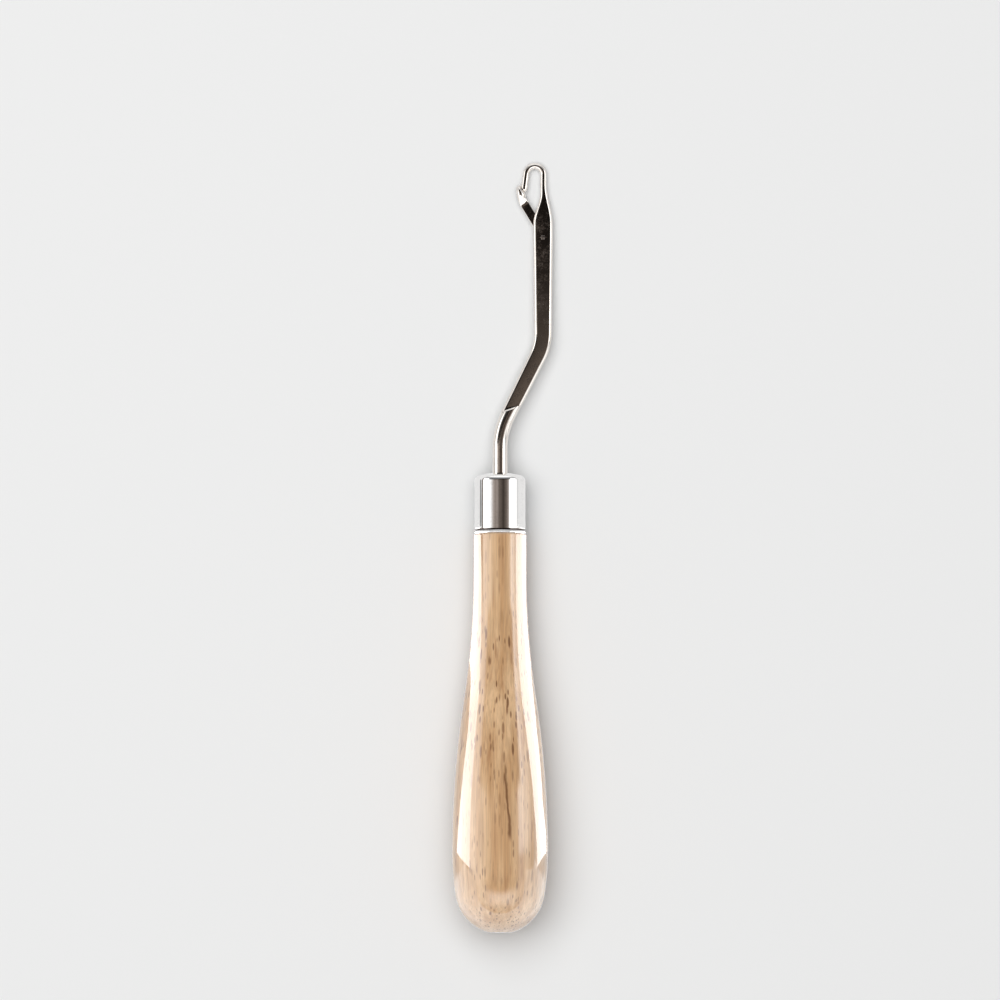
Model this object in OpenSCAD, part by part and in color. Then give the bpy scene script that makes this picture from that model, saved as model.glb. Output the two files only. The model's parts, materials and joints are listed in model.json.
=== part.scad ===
// Latch hook tool: a turned wooden handle, a drawn metal ferrule and a cranked steel hook
// whose small latch swings on a rivet. Lengths are millimetres.
//
// The tool is drawn along +Y from the butt of the handle, at Y = 0, to the crown of the hook.
// The flats of the blade face +Z and the hook opens towards -X. The last step lays the tool
// on the plane Z = 0, where it touches with the bulb of the handle and the nose of the ferrule.

/* [Handle] */
// Length of the wood that shows, from the butt to the lip of the ferrule
handle_l = 85.2; // [80:0.1:100]
// Largest diameter, at the bulb
bulb_d = 20.5; // [18:0.1:24]
// Distance of the largest diameter from the butt
bulb_at = 17; // [14:0.5:24]
// How much smaller the radius of the rounded butt is than that of the bulb
butt_inset = 0.65; // [0.5:0.05:1.5]
// Diameter of the small parting flat on the butt
butt_flat_d = 4.8; // [2:0.2:8]
// Distance from the butt to the place where the waist turns from bulging to hollow
turn_at = 50; // [40:1:60]
// Length of the straight neck behind the ferrule
neck_l = 8.5; // [4:0.5:14]
// Diameter of the straight neck
neck_d = 11.4; // [11:0.1:14]
// Chamfer on the front edge of the neck
neck_chamfer = 0.25; // [0.1:0.05:0.5]

/* [Ferrule] */
// Outside diameter of the ferrule
ferrule_d = 10.9; // [9:0.1:10.9]
// Length of the ferrule, from its lip to the front rim
ferrule_l = 12.6; // [9:0.1:16]
// Sheet thickness of the ferrule
ferrule_wall = 0.4; // [0.25:0.05:0.6]
// Outside radius of the rounded front shoulder
nose_r = 1.2; // [0.8:0.1:2]
// Height of the shallow dome on the front
dome_h = 0.6; // [0.2:0.1:1.2]
// Thickness of the rolled lip
lip_t = 0.6; // [0.4:0.05:0.8]
// How far the lip stands out from the ferrule
lip_proud = 0.12; // [0.05:0.01:0.2]

/* [Shank] */
// Diameter of the steel wire
shank_d = 3.2; // [2.6:0.1:3.6]
// Length of the tang inside the handle, from the lip of the ferrule
tang_l = 40; // [20:1:60]
// Distance from the front rim of the ferrule to the corner of the first bend
first_bend_at = 9.5; // [7:0.1:14]
// Angle of the slanting part to the handle
crank_angle = 26.5; // [18:0.5:30]
// Sideways offset of the blade from the handle's axis
blade_offset = 9.2; // [7:0.1:12]
// Radius of the first bend, on the centre line
first_bend_r = 16; // [8:1:16]
// Radius of the second bend, on the centre line
second_bend_r = 11; // [8:1:16]

/* [Blade] */
// Distance from the first bend's corner to the shoulder where the wire turns flat
flat_at = 5.4; // [5:0.1:8]
// Slope of the line of that shoulder
flat_slope = 18; // [0:1:20]
// Width of the blade at the shoulder
blade_start_w = 3.35; // [3.2:0.05:3.8]
// Width of the blade at the rivet
blade_w = 4.2; // [3.9:0.1:5]
// Thickness of the blade
blade_t = 1.6; // [1.4:0.05:2]
// Distance from the second bend's corner to the rivet
blade_l = 23.2; // [20:0.1:32]

/* [Hook] */
// Thickness of the hook's round wire
hook_t = 1.33; // [1.1:0.01:1.4]
// Clear width of the throat, between stem and barb
throat_w = 2.4; // [2:0.1:3.2]
// Distance from the rivet to the crown of the hook
hook_reach = 16.1; // [15.5:0.1:18]
// Length of the barb, from the end of the crown's curve to the tip
barb_l = 4; // [3.4:0.1:4.6]
// Angle by which the barb leans outwards
barb_lean = 7.3; // [0:0.1:10]
// Shift of the stem towards the back of the blade
stem_shift = 0.12; // [0:0.01:0.3]
// Distance from the rivet to the place where the blade begins to narrow
narrow_at = 2.8; // [2:0.1:3.4]
// Length of the narrowing on the open side
narrow_inner_l = 7; // [6:0.1:8]
// Length of the narrowing on the back
narrow_back_l = 8.7; // [7:0.1:9]

/* [Latch] */
// Thickness of the latch
latch_t = 0.6; // [0.5:0.02:0.66]
// Width of the latch bar
latch_w = 1.9; // [1.6:0.05:2]
// Distance from the rivet's axis to the face that the barb rests on
latch_seat = 1.33; // [1.2:0.01:1.5]
// Gap that is left between the closed latch and the barb
latch_gap = 0.04; // [0.03:0.01:0.1]
// Diameter of the eye round the rivet
eye_d = 2.4; // [2:0.05:2.5]
// Width of the spoon at the tip
spoon_d = 2.4; // [2.2:0.05:2.8]
// Radius of the cup in the spoon
cup_r = 0.9; // [0.85:0.01:0.95]
// Height of the spoon's rim over the seat
rim_h = 0.35; // [0.2:0.01:0.4]
// Thickness of the spoon at its tip
spoon_tip_t = 0.9; // [0.7:0.05:1.1]

/* [Rivet and slot] */
// Diameter of the rivet
rivet_d = 0.95; // [0.8:0.01:1.1]
// Radial clearance between the rivet and the latch
rivet_play = 0.04; // [0.02:0.01:0.08]
// Width of the slot that the latch swings in
slot_w = 0.74; // [0.7:0.02:0.8]
// Diameter of the slitting saw that cuts the slot
saw_d = 16.4; // [15:0.1:20]
// Clearance between the eye and the bottom of the slot
slot_play = 0.15; // [0.1:0.01:0.2]

/* [Hidden] */
$fn = 64;
// Facets of the large arcs of the handle, and the hair by which two of them step inwards, so
// that no two arcs meet in a sliver
arc_fn = 720;
arc_hair = 0.005;
// Extra length of a cutting tool past a face
over = 1;
// Steps round each edge of the swept blade, and along its bends
edge_steps = 6;
bend_steps = 6;
narrow_steps = 10;
crown_steps = 14;
tip_steps = 4;

// Handle: radii and the arcs that meet without a corner
bulb_r = bulb_d / 2;
neck_r = neck_d / 2;
butt_r = bulb_r - butt_inset;
butt_centre = sqrt(pow(butt_r, 2) - pow(butt_flat_d / 2, 2));
heel_run = bulb_at - butt_centre;
heel_r = (pow(heel_run, 2) + pow(bulb_r, 2) - pow(butt_r, 2)) / (2 * (bulb_r - butt_r));
heel_at = butt_centre - butt_r * heel_run / (heel_r - butt_r);
waist_end = handle_l - neck_l;
waist_angle = 2 * atan((bulb_r - neck_r) / (waist_end - bulb_at));
belly_r = (turn_at - bulb_at) / sin(waist_angle);
hollow_r = (waist_end - turn_at) / sin(waist_angle);

// Ferrule: places along the tool
ferrule_r = ferrule_d / 2;
rim_at = handle_l + ferrule_l;
nose_at = rim_at - nose_r;
ferrule_bore_d = ferrule_d - 2 * ferrule_wall;
spigot_fit = 0.05;
spigot_l = ferrule_l - ferrule_wall - 0.6;
shank_hole_d = shank_d + 0.1;
dome_r = (pow(ferrule_r - nose_r, 2) + pow(dome_h, 2)) / (2 * dome_h);

// Shank: corners of its centre line
corner_1 = [0, rim_at + first_bend_at];
crank_l = blade_offset / sin(crank_angle);
corner_2 = [blade_offset, corner_1.y + crank_l * cos(crank_angle)];
rivet_at = [blade_offset, corner_2.y + blade_l];
bend_1_run = first_bend_r * tan(crank_angle / 2);
bend_2_run = second_bend_r * tan(crank_angle / 2);
taper_l = crank_l - flat_at + blade_l;
tang_gap = 0.3;
bend_lap = 0.2;
bend_shy = 0.01;

// Hook: places are relative to the rivet
crown_r = (throat_w + hook_t) / 2;
crown_at = [stem_shift - crown_r, hook_reach - hook_t / 2 - crown_r];
crown_turn = 180 - barb_lean;
barb_way = [-sin(barb_lean), -cos(barb_lean)];
barb_end = crown_at + crown_r * [cos(crown_turn), sin(crown_turn)] + (barb_l - hook_t / 2) * barb_way;

// Latch: the closed angle follows from the place of the barb's round end
barb_reach = norm(barb_end);
seat_angle = asin((latch_seat + latch_gap + hook_t / 2) / barb_reach);
latch_angle = atan2(-barb_end.x, barb_end.y) + seat_angle;
spoon_at = barb_reach * cos(seat_angle);
latch_back = latch_w - latch_seat;
spoon_neck_l = 3.2;
spoon_bend_l = 3;

// Slot: the latch opens until its back meets the end of the slot
slot_reach = eye_d / 2 + slot_play;
saw_centre = slot_reach - saw_d / 2;
slot_half_l = sqrt(pow(saw_d / 2, 2) - pow(saw_centre + blade_w / 2, 2));
stop_angle = atan(blade_w / 2 / slot_half_l) + asin(latch_back / norm([blade_w / 2, slot_half_l]));
latch_travel = 180 - latch_angle - stop_angle - 1;

// Rest on the table: the line that touches the belly of the handle and the ferrule's nose
rest_run = nose_at - bulb_at;
rest_drop = belly_r - bulb_r + ferrule_r - nose_r;
rest_pitch = atan(rest_run / rest_drop) - acos((belly_r - nose_r) / norm([rest_run, rest_drop]));
rest_lift = bulb_at * sin(rest_pitch) - (belly_r - bulb_r) * cos(rest_pitch) + belly_r;
tool_l = rivet_at.y + hook_reach;

echo(pitch = rest_pitch, lift = rest_lift, tool_l = tool_l, rivet_at = rivet_at);
echo(latch_angle = latch_angle, stop_angle = stop_angle, latch_travel = latch_travel);

// Lays the finished tool on the table, centred over the origin
module laid_down() {
    translate([0, -tool_l / 2 * cos(rest_pitch), rest_lift])
        rotate([-rest_pitch, 0, 0])
            children();
}

// Turns a shape that was drawn round Z so that it lies along the tool
module along_tool() {
    rotate([-90, 0, 0])
        children();
}

// Cuts a profile down to the stretch between two distances from the butt
module stretch(from, to) {
    intersection() {
        translate([0, from])
            square([bulb_d, to - from]);
        children();
    }
}

// Half outline of the handle, as radius and distance from the butt
module handle_outline() {
    stretch(0, heel_at)
        translate([0, butt_centre])
            circle(r = butt_r - arc_hair, $fn = arc_fn);
    stretch(heel_at, bulb_at)
        translate([bulb_r - heel_r, bulb_at])
            circle(r = heel_r, $fn = arc_fn);
    stretch(bulb_at, turn_at)
        translate([bulb_r - belly_r, bulb_at])
            circle(r = belly_r, $fn = 2 * arc_fn);
    stretch(turn_at, waist_end)
        difference() {
            square([bulb_r, handle_l]);
            translate([neck_r + hollow_r, waist_end])
                circle(r = hollow_r + arc_hair, $fn = 2 * arc_fn);
        }
    polygon([
        [0, waist_end],
        [neck_r, waist_end],
        [neck_r, handle_l - neck_chamfer],
        [neck_r - neck_chamfer, handle_l],
        [0, handle_l],
    ]);
}

// Turned handle with a spigot for the ferrule and a blind hole for the tang
module handle() {
    spigot_d = ferrule_bore_d - 2 * spigot_fit;
    tip_chamfer = 0.5;
    color("burlywood")
        laid_down()
            along_tool()
                difference() {
                    union() {
                        rotate_extrude()
                            handle_outline();
                        translate([0, 0, handle_l - over])
                            cylinder(d = spigot_d, h = spigot_l + over - tip_chamfer);
                        translate([0, 0, handle_l + spigot_l - tip_chamfer])
                            cylinder(d1 = spigot_d, d2 = spigot_d - 2 * tip_chamfer, h = tip_chamfer);
                    }
                    translate([0, 0, handle_l - tang_l])
                        cylinder(d = shank_d, h = tang_l + ferrule_l);
                }
}

// Half outline of a ferrule's skin: a cylinder, a rounded shoulder and a shallow dome
module cap_outline(radius, corner, rim) {
    flat_r = radius - corner;
    translate([0, handle_l])
        square([radius, rim - corner - handle_l]);
    translate([0, handle_l])
        square([flat_r, rim - handle_l]);
    intersection() {
        translate([flat_r, rim - corner])
            circle(r = corner);
        translate([0, handle_l])
            square([radius, rim - handle_l]);
    }
    intersection() {
        translate([0, rim + dome_h - dome_r])
            circle(r = dome_r, $fn = arc_fn);
        translate([0, rim - over / 4])
            square([flat_r, 2 * dome_h + over / 4]);
    }
}

// Drawn ferrule with a rolled lip and a hole for the shank in its domed front
module ferrule() {
    lip_r = lip_t / 2;
    lip_centre = [ferrule_r + lip_proud - lip_r, handle_l + lip_r];
    crease_r = 0.1;
    color("silver")
        laid_down()
            along_tool()
                rotate_extrude() {
                    difference() {
                        union() {
                            cap_outline(ferrule_r, nose_r, rim_at);
                            translate(lip_centre)
                                circle(r = lip_r);
                        }
                        translate([ferrule_r, handle_l + lip_t + crease_r])
                            circle(r = crease_r);
                        cap_outline(ferrule_bore_d / 2, nose_r - ferrule_wall, rim_at - ferrule_wall);
                        square([shank_hole_d / 2, rim_at + over + dome_h]);
                        square([ferrule_bore_d / 2, handle_l + over]);
                    }
                }
}

// Place on the slanting part, at a distance from the first bend's corner
function slant_place(way) = corner_1 + way * [sin(crank_angle), cos(crank_angle)];

// Half width of the blade, at a distance from its shoulder
function half_width(way) = (blade_start_w + (blade_w - blade_start_w) * min(1, way / taper_l)) / 2;

// Smooth step from 0 to 1 that begins at one distance and takes a given length
function ease(way, from, length) = (1 - cos(180 * min(1, max(0, (way - from) / length)))) / 2;

// Value between two others
function mix(a, b, share) = a + (b - a) * share;

// One section of the swept blade: place, heading from +Y towards +X, half widths to the left
// and to the right, and half thickness
function section(place, heading, left, right, half_t) = [place, heading, left, right, half_t];

// Section of the round wire
function wire_section(place, heading, radius) = section(place, heading, radius, radius, radius);

// Points of one section: flat faces with full round edges
function section_points(s) =
    let (
        edge_r = min(s[4], (s[2] + s[3]) / 2),
        across_way = [cos(s[1]), -sin(s[1])]
    )
    [
        for (left_side = [false, true], step = [0:edge_steps])
            let (
                turn = (left_side ? 90 : -90) + 180 * step / edge_steps,
                middle = left_side ? edge_r - s[2] : s[3] - edge_r,
                place = s[0] + (middle + edge_r * cos(turn)) * across_way
            )
            [place.x, place.y, s[4] * sin(turn)]
    ];

// Sections of the slanting blade and of the second bend
function slant_sections() =
    let (
        buried_l = 3,
        buried_r = shank_d / 2 - 0.1,
        bend_from = crank_l - bend_2_run,
        bend_centre = corner_2 + [-second_bend_r, bend_2_run]
    )
    concat(
        [section(slant_place(flat_at - buried_l), crank_angle, buried_r, buried_r, blade_t / 2)],
        [
            for (way = [flat_at, bend_from])
                let (half = half_width(way - flat_at))
                section(slant_place(way), crank_angle, half, half, blade_t / 2)
        ],
        [
            for (step = [1:bend_steps])
                let (
                    share = step / bend_steps,
                    heading = crank_angle * (1 - share),
                    place = bend_centre + second_bend_r * [cos(heading), -sin(heading)],
                    half = half_width(bend_from - flat_at + 2 * bend_2_run * share)
                )
                section(place, heading, half, half, blade_t / 2)
        ]
    );

// Sections of the blade at the rivet and of the narrowing in front of it
function narrowing_sections() =
    let (
        narrow_l = max(narrow_inner_l, narrow_back_l),
        inner_r = hook_t / 2 - stem_shift,
        back_r = hook_t / 2 + stem_shift
    )
    concat(
        [section(rivet_at, 0, blade_w / 2, blade_w / 2, blade_t / 2)],
        [
            for (step = [0:narrow_steps])
                let (
                    way = narrow_at + narrow_l * step / narrow_steps,
                    inner = mix(blade_w / 2, inner_r, ease(way, narrow_at, narrow_inner_l)),
                    back = mix(blade_w / 2, back_r, ease(way, narrow_at, narrow_back_l)),
                    half_t = mix(blade_t / 2, hook_t / 2, ease(way, narrow_at, narrow_l))
                )
                section(rivet_at + [0, way], 0, inner, back, half_t)
        ]
    );

// Sections of the crown and of the barb with its round end
function hook_sections() =
    concat(
        [
            for (step = [0:crown_steps])
                let (turn = crown_turn * step / crown_steps)
                wire_section(rivet_at + crown_at + crown_r * [cos(turn), sin(turn)], -turn, hook_t / 2)
        ],
        [
            for (step = [0:tip_steps])
                let (
                    turn = 80 * step / tip_steps,
                    place = rivet_at + barb_end + hook_t / 2 * sin(turn) * barb_way
                )
                wire_section(place, -crown_turn, hook_t / 2 * cos(turn))
        ]
    );

// Skin over a row of sections, closed at both ends
module sweep(sections) {
    count = 2 * (edge_steps + 1);
    rows = len(sections);
    walls = [
        for (row = [0:rows - 2], i = [0:count - 1])
            let (
                a = row * count + i,
                b = row * count + (i + 1) % count
            )
            each [[a, b, b + count], [a, b + count, a + count]]
    ];
    first_end = [for (i = [1:count]) count - i];
    last_end = [for (i = [0:count - 1]) (rows - 1) * count + i];
    polyhedron([for (s = sections) each section_points(s)], concat([first_end], walls, [last_end]));
}

// Round wire: the tang, the first bend and the slant as far as the shoulder. The straight
// parts reach a little into the bend, which is a hair thinner, so that they join cleanly.
module round_shank() {
    tang_from = handle_l - tang_l + tang_gap;
    translate([0, tang_from, 0])
        along_tool()
            cylinder(d = shank_d, h = corner_1.y - bend_1_run + bend_lap - tang_from);
    translate([first_bend_r, corner_1.y - bend_1_run, 0])
        rotate([0, 0, 180 - crank_angle])
            rotate_extrude(angle = crank_angle)
                translate([first_bend_r, 0])
                    circle(r = shank_d / 2 - bend_shy);
    difference() {
        translate(concat(slant_place(bend_1_run - bend_lap), 0))
            rotate([0, 0, -crank_angle])
                along_tool()
                    cylinder(d = shank_d, h = flat_at - bend_1_run + shank_d);
        translate(concat(slant_place(flat_at), 0))
            rotate([0, 0, flat_slope])
                translate([-shank_d, 0, -shank_d])
                    cube([3 * shank_d, 3 * shank_d, 2 * shank_d]);
    }
}

// Cranked wire with its flat blade and hook, slotted for the latch and drilled for the rivet
module hook_shank() {
    color("gray")
        laid_down()
            difference() {
                union() {
                    round_shank();
                    sweep(concat(slant_sections(), narrowing_sections(), hook_sections()));
                }
                translate([rivet_at.x + saw_centre, rivet_at.y, -slot_w / 2])
                    cylinder(d = saw_d, h = slot_w);
                translate(concat(rivet_at, 0))
                    cylinder(d = rivet_d, h = 2 * blade_t, center = true);
            }
}

// Outline of the latch in its own plane: X runs to the tip and -Y faces the barb
module latch_side() {
    tip_at = spoon_at + spoon_d / 2;
    rim_y = -latch_seat - rim_h;
    back_rise = latch_back + latch_seat + rim_h - spoon_tip_t;
    back_run = spoon_bend_l + spoon_d / 2;
    back_r = (pow(back_run, 2) + pow(back_rise, 2)) / (2 * back_rise);
    circle(d = eye_d);
    translate([0, -latch_seat])
        square([spoon_at - spoon_bend_l, latch_w]);
    intersection() {
        translate([spoon_at - spoon_bend_l, latch_back - back_r])
            circle(r = back_r, $fn = 4 * $fn);
        polygon([
            [spoon_at - spoon_bend_l, latch_back],
            [spoon_at - spoon_bend_l, -latch_seat],
            [spoon_at - spoon_d / 2 - 2 * rim_h, -latch_seat],
            [spoon_at - spoon_d / 2, rim_y],
            [tip_at, rim_y],
            [tip_at, latch_back],
        ]);
    }
}

// Outline of the latch seen from the barb: a narrow bar that widens to a round spoon
module latch_front() {
    flare = atan((spoon_d - latch_t) / 2 / spoon_neck_l);
    flank = spoon_d / 2 * [-sin(flare), cos(flare)];
    translate([-eye_d, -latch_t / 2])
        square([eye_d + spoon_at, latch_t]);
    translate([spoon_at, 0])
        circle(d = spoon_d);
    polygon([
        [spoon_at - spoon_neck_l, latch_t / 2],
        [spoon_at - spoon_neck_l, -latch_t / 2],
        [spoon_at + flank.x, -flank.y],
        [spoon_at + flank.x, flank.y],
    ]);
}

// Latch: an eye on the rivet, a flat bar and a spoon with a cup for the barb's tip
module latch() {
    color("dimgray")
        laid_down()
            translate(concat(rivet_at, 0))
                rotate([0, 0, 90 + latch_angle])
                    difference() {
                        intersection() {
                            linear_extrude(2 * spoon_d, center = true)
                                latch_side();
                            rotate([90, 0, 0])
                                linear_extrude(4 * latch_w, center = true)
                                    latch_front();
                        }
                        cylinder(d = rivet_d + 2 * rivet_play, h = 2 * latch_t, center = true);
                        translate([spoon_at, -latch_seat - cup_r, 0])
                            sphere(r = cup_r);
                    }
}

// Rivet that carries the latch, filed flush with both flats of the blade
module latch_rivet() {
    color("lightgray")
        laid_down()
            translate(concat(rivet_at, 0))
                cylinder(d = rivet_d, h = blade_t, center = true);
}

handle();
ferrule();
hook_shank();
latch();
latch_rivet();
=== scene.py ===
"""Latch hook tool: a lacquered wooden handle, a plated ferrule and a cranked hook whose small
latch swings on a rivet. Lengths are metres unless a name says otherwise."""

import json
import math

import bmesh
import bpy
from bpy.props import FloatProperty, FloatVectorProperty, IntProperty, PointerProperty
from mathutils import Matrix, Vector


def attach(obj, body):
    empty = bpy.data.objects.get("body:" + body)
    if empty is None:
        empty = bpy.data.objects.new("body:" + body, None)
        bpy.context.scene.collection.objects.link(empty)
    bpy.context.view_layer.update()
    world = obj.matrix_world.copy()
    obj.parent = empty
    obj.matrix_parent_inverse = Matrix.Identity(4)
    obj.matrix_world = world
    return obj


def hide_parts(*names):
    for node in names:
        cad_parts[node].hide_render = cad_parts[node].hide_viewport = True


bl_info = {
    "name": "Latch Hook Tool",
    "version": (1, 0, 0),
    "blender": (4, 5, 0),
    "location": "View3D > Sidebar > Latch Hook",
    "description": "Builds the visible pieces of a latch hook tool and a plain studio for it",
    "category": "Object",
}

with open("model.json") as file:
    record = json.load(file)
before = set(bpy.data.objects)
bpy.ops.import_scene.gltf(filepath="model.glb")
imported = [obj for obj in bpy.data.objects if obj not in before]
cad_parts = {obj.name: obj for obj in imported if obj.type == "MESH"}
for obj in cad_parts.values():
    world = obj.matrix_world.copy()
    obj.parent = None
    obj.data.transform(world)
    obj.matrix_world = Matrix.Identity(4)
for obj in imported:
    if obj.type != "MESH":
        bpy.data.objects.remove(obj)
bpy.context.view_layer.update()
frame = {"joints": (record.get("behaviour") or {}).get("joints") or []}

MM = 0.001
HINGE = frame["joints"][0]

# Edges that turn by more than this stay sharp
CREASE = math.radians(32)


# Properties

def length(name, description, millimetres):
    """A length property with its default given in millimetres."""
    return FloatProperty(name=name, description=description, default=millimetres * MM,
                         min=0.0, precision=5, subtype="DISTANCE", unit="LENGTH")


def angle(name, description, degrees):
    """An angle property with its default given in degrees."""
    return FloatProperty(name=name, description=description, default=math.radians(degrees),
                         subtype="ANGLE", unit="ROTATION")


def colour(name, description, value):
    """A colour property."""
    return FloatVectorProperty(name=name, description=description, default=value, size=3,
                               min=0.0, max=1.0, subtype="COLOR")


def share(name, description, value, highest=1.0):
    """A plain number property."""
    return FloatProperty(name=name, description=description, default=value, min=0.0, max=highest)


class HandleSettings(bpy.types.PropertyGroup):
    """Sizes and colours of the turned wooden handle"""
    length_shown: length("Length", "Wood that shows, from the butt to the ferrule", 85.2)
    bulb_diameter: length("Bulb diameter", "Largest diameter", 20.5)
    bulb_at: length("Bulb position", "Distance of the largest diameter from the butt", 17.0)
    butt_inset: length("Butt inset", "How much smaller the butt radius is than the bulb", 0.65)
    butt_flat: length("Butt flat", "Diameter of the parting flat on the butt", 4.8)
    turn_at: length("Waist turn", "Distance from the butt to where bulging turns hollow", 50.0)
    neck_length: length("Neck length", "Straight neck behind the ferrule", 8.5)
    neck_diameter: length("Neck diameter", "Diameter of the straight neck", 11.4)
    neck_chamfer: length("Neck chamfer", "Chamfer on the front edge of the neck", 0.25)
    spigot_diameter: length("Spigot diameter", "Turned end inside the ferrule", 10.0)
    spigot_length: length("Spigot length", "Length of the turned end", 11.6)
    tang_hole: length("Tang hole", "Depth of the hole behind the ferrule's lip", 40.0)
    wood: colour("Wood", "Main colour of the wood", (0.52, 0.295, 0.135))
    pale_wood: colour("Pale wood", "Colour of the paler streaks", (0.70, 0.455, 0.25))
    pore: colour("Pores", "Colour of the open pores", (0.16, 0.065, 0.02))


class FerruleSettings(bpy.types.PropertyGroup):
    """Sizes and colour of the drawn ferrule"""
    diameter: length("Diameter", "Outside diameter", 10.9)
    length_shown: length("Length", "From the lip to the front rim", 12.6)
    wall: length("Wall", "Sheet thickness", 0.4)
    nose_radius: length("Nose radius", "Outside radius of the front shoulder", 1.2)
    dome_height: length("Dome height", "Height of the shallow front dome", 0.6)
    lip_thickness: length("Lip thickness", "Thickness of the rolled lip", 0.6)
    lip_proud: length("Lip proud", "How far the lip stands out", 0.12)
    groove_width: length("Groove width", "Width of the groove in front of the lip", 0.36)
    groove_depth: length("Groove depth", "Depth of the groove in front of the lip", 0.14)
    hole_diameter: length("Hole diameter", "Hole for the shank", 3.3)
    plating: colour("Plating", "Colour of the bright plating", (0.92, 0.91, 0.90))


class HookSettings(bpy.types.PropertyGroup):
    """Sizes and colour of the cranked hook"""
    wire_diameter: length("Wire diameter", "Diameter of the round wire", 3.2)
    tang_length: length("Tang length", "Wire inside the handle behind the ferrule's lip", 39.7)
    first_bend_at: length("First bend", "From the ferrule's rim to the first corner", 9.5)
    crank: angle("Crank angle", "Angle of the slanting part to the handle", 26.5)
    blade_offset: length("Blade offset", "Sideways offset of the blade", 9.2)
    first_radius: length("First bend radius", "Centre line radius of the first bend", 16.0)
    second_radius: length("Second bend radius", "Centre line radius of the second bend", 11.0)
    flat_at: length("Shoulder", "From the first corner to where the wire turns flat", 5.4)
    flat_slope: angle("Shoulder slope", "Slope of the line of that shoulder", 18.0)
    start_width: length("Blade width at the shoulder", "Width where the flat begins", 3.35)
    blade_width: length("Blade width at the rivet", "Width at the rivet", 4.2)
    blade_thickness: length("Blade thickness", "Thickness of the blade", 1.6)
    blade_length: length("Blade length", "From the second corner to the rivet", 23.2)
    hook_thickness: length("Hook thickness", "Thickness of the hook's round wire", 1.33)
    throat: length("Throat", "Clear width between stem and barb", 2.4)
    reach: length("Hook reach", "From the rivet to the crown", 16.1)
    barb_length: length("Barb length", "From the crown's curve to the tip", 4.0)
    barb_lean: angle("Barb lean", "Angle by which the barb leans outwards", 7.3)
    stem_shift: length("Stem shift", "Shift of the stem towards the back", 0.12)
    narrow_at: length("Narrowing", "From the rivet to where the blade narrows", 2.8)
    narrow_inner: length("Narrowing, open side", "Length of the narrowing on the open side", 7.0)
    narrow_back: length("Narrowing, back", "Length of the narrowing on the back", 8.7)
    slot_width: length("Slot width", "Width of the slot that the latch swings in", 0.74)
    saw_diameter: length("Saw diameter", "Diameter of the saw that cuts the slot", 16.4)
    slot_reach: length("Slot reach", "From the rivet to the bottom of the slot", 1.35)
    steel: colour("Steel", "Colour of the plated steel", (0.84, 0.79, 0.74))


class LatchSettings(bpy.types.PropertyGroup):
    """Sizes and colours of the latch and its rivet"""
    thickness: length("Thickness", "Thickness of the latch", 0.6)
    width: length("Width", "Width of the latch bar", 1.9)
    seat: length("Seat", "From the rivet's axis to the face that meets the barb", 1.33)
    gap: length("Gap", "Gap between the closed latch and the barb", 0.04)
    eye_diameter: length("Eye diameter", "Diameter of the eye round the rivet", 2.4)
    spoon_width: length("Spoon width", "Width of the spoon at the tip", 2.4)
    cup_radius: length("Cup radius", "Radius of the cup in the spoon", 0.9)
    rim_height: length("Rim height", "Height of the spoon's rim over the seat", 0.35)
    tip_thickness: length("Tip thickness", "Thickness of the spoon at its tip", 0.9)
    neck_length: length("Neck length", "Length over which the bar widens to the spoon", 3.2)
    bend_length: length("Bend length", "Length over which the back curves down", 3.0)
    bore: length("Bore", "Diameter of the latch's hole", 1.03)
    rivet_diameter: length("Rivet diameter", "Diameter of the rivet", 0.95)
    steel: colour("Steel", "Colour of the plated latch", (0.80, 0.76, 0.72))
    rivet_steel: colour("Rivet steel", "Colour of the filed rivet", (0.62, 0.57, 0.53))


class StudioSettings(bpy.types.PropertyGroup):
    """Camera, floor and lights"""
    lens: FloatProperty(name="Lens", description="Focal length in millimetres", default=350.0)
    field: length("Field", "Width that the picture takes in", 213.6)
    centre_y: length("Centre", "Place of the picture's middle along the tool", 10.0)
    floor_size: length("Floor size", "Side of the square floor", 4000.0)
    floor: colour("Floor", "Colour of the floor", (0.81, 0.812, 0.81))
    fill_size: length("Fill size", "Side of the soft lamp overhead", 1600.0)
    fill_light: share("Fill light", "Brightness of the soft lamp overhead", 3.2, 10.0)
    even_light: share("Even light", "Brightness of the faint light all round", 0.22, 10.0)
    card_light: share("Card light", "Brightness of the white cards beside the handle", 5.0, 10.0)
    walls_light: share("Walls", "Brightness of the dome that the gloss mirrors", 1.0, 10.0)
    dome_radius: length("Dome radius", "Radius of that dome", 1800.0)
    segments: IntProperty(name="Segments", description="Steps round a turned piece", default=128)


# Shared modelling steps

def crank_corners(context):
    """Corners of the shank's centre line and the distance between them."""
    handle, ferrule = context.scene.latch_hook_handle, context.scene.latch_hook_ferrule
    hook = context.scene.latch_hook_hook
    rim = handle.length_shown + ferrule.length_shown
    crank_l = hook.blade_offset / math.sin(hook.crank)
    corner_1 = Vector((0.0, rim + hook.first_bend_at))
    corner_2 = corner_1 + crank_l * Vector((math.sin(hook.crank), math.cos(hook.crank)))
    return corner_1, corner_2, crank_l


def rivet_place(context):
    """The rivet's place in the tool's own frame."""
    hook = context.scene.latch_hook_hook
    return Vector((hook.blade_offset, crank_corners(context)[1].y + hook.blade_length, 0.0))


def tool_place(context):
    """Matrix from the tool's own frame to the row frame, hung on the latch's hinge."""
    tilt = math.atan2(HINGE["axis"][1], HINGE["axis"][2])
    return (Matrix.Translation(HINGE["pos_m"]) @ Matrix.Rotation(-tilt, 4, "X")
            @ Matrix.Translation(-rivet_place(context)))


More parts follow.
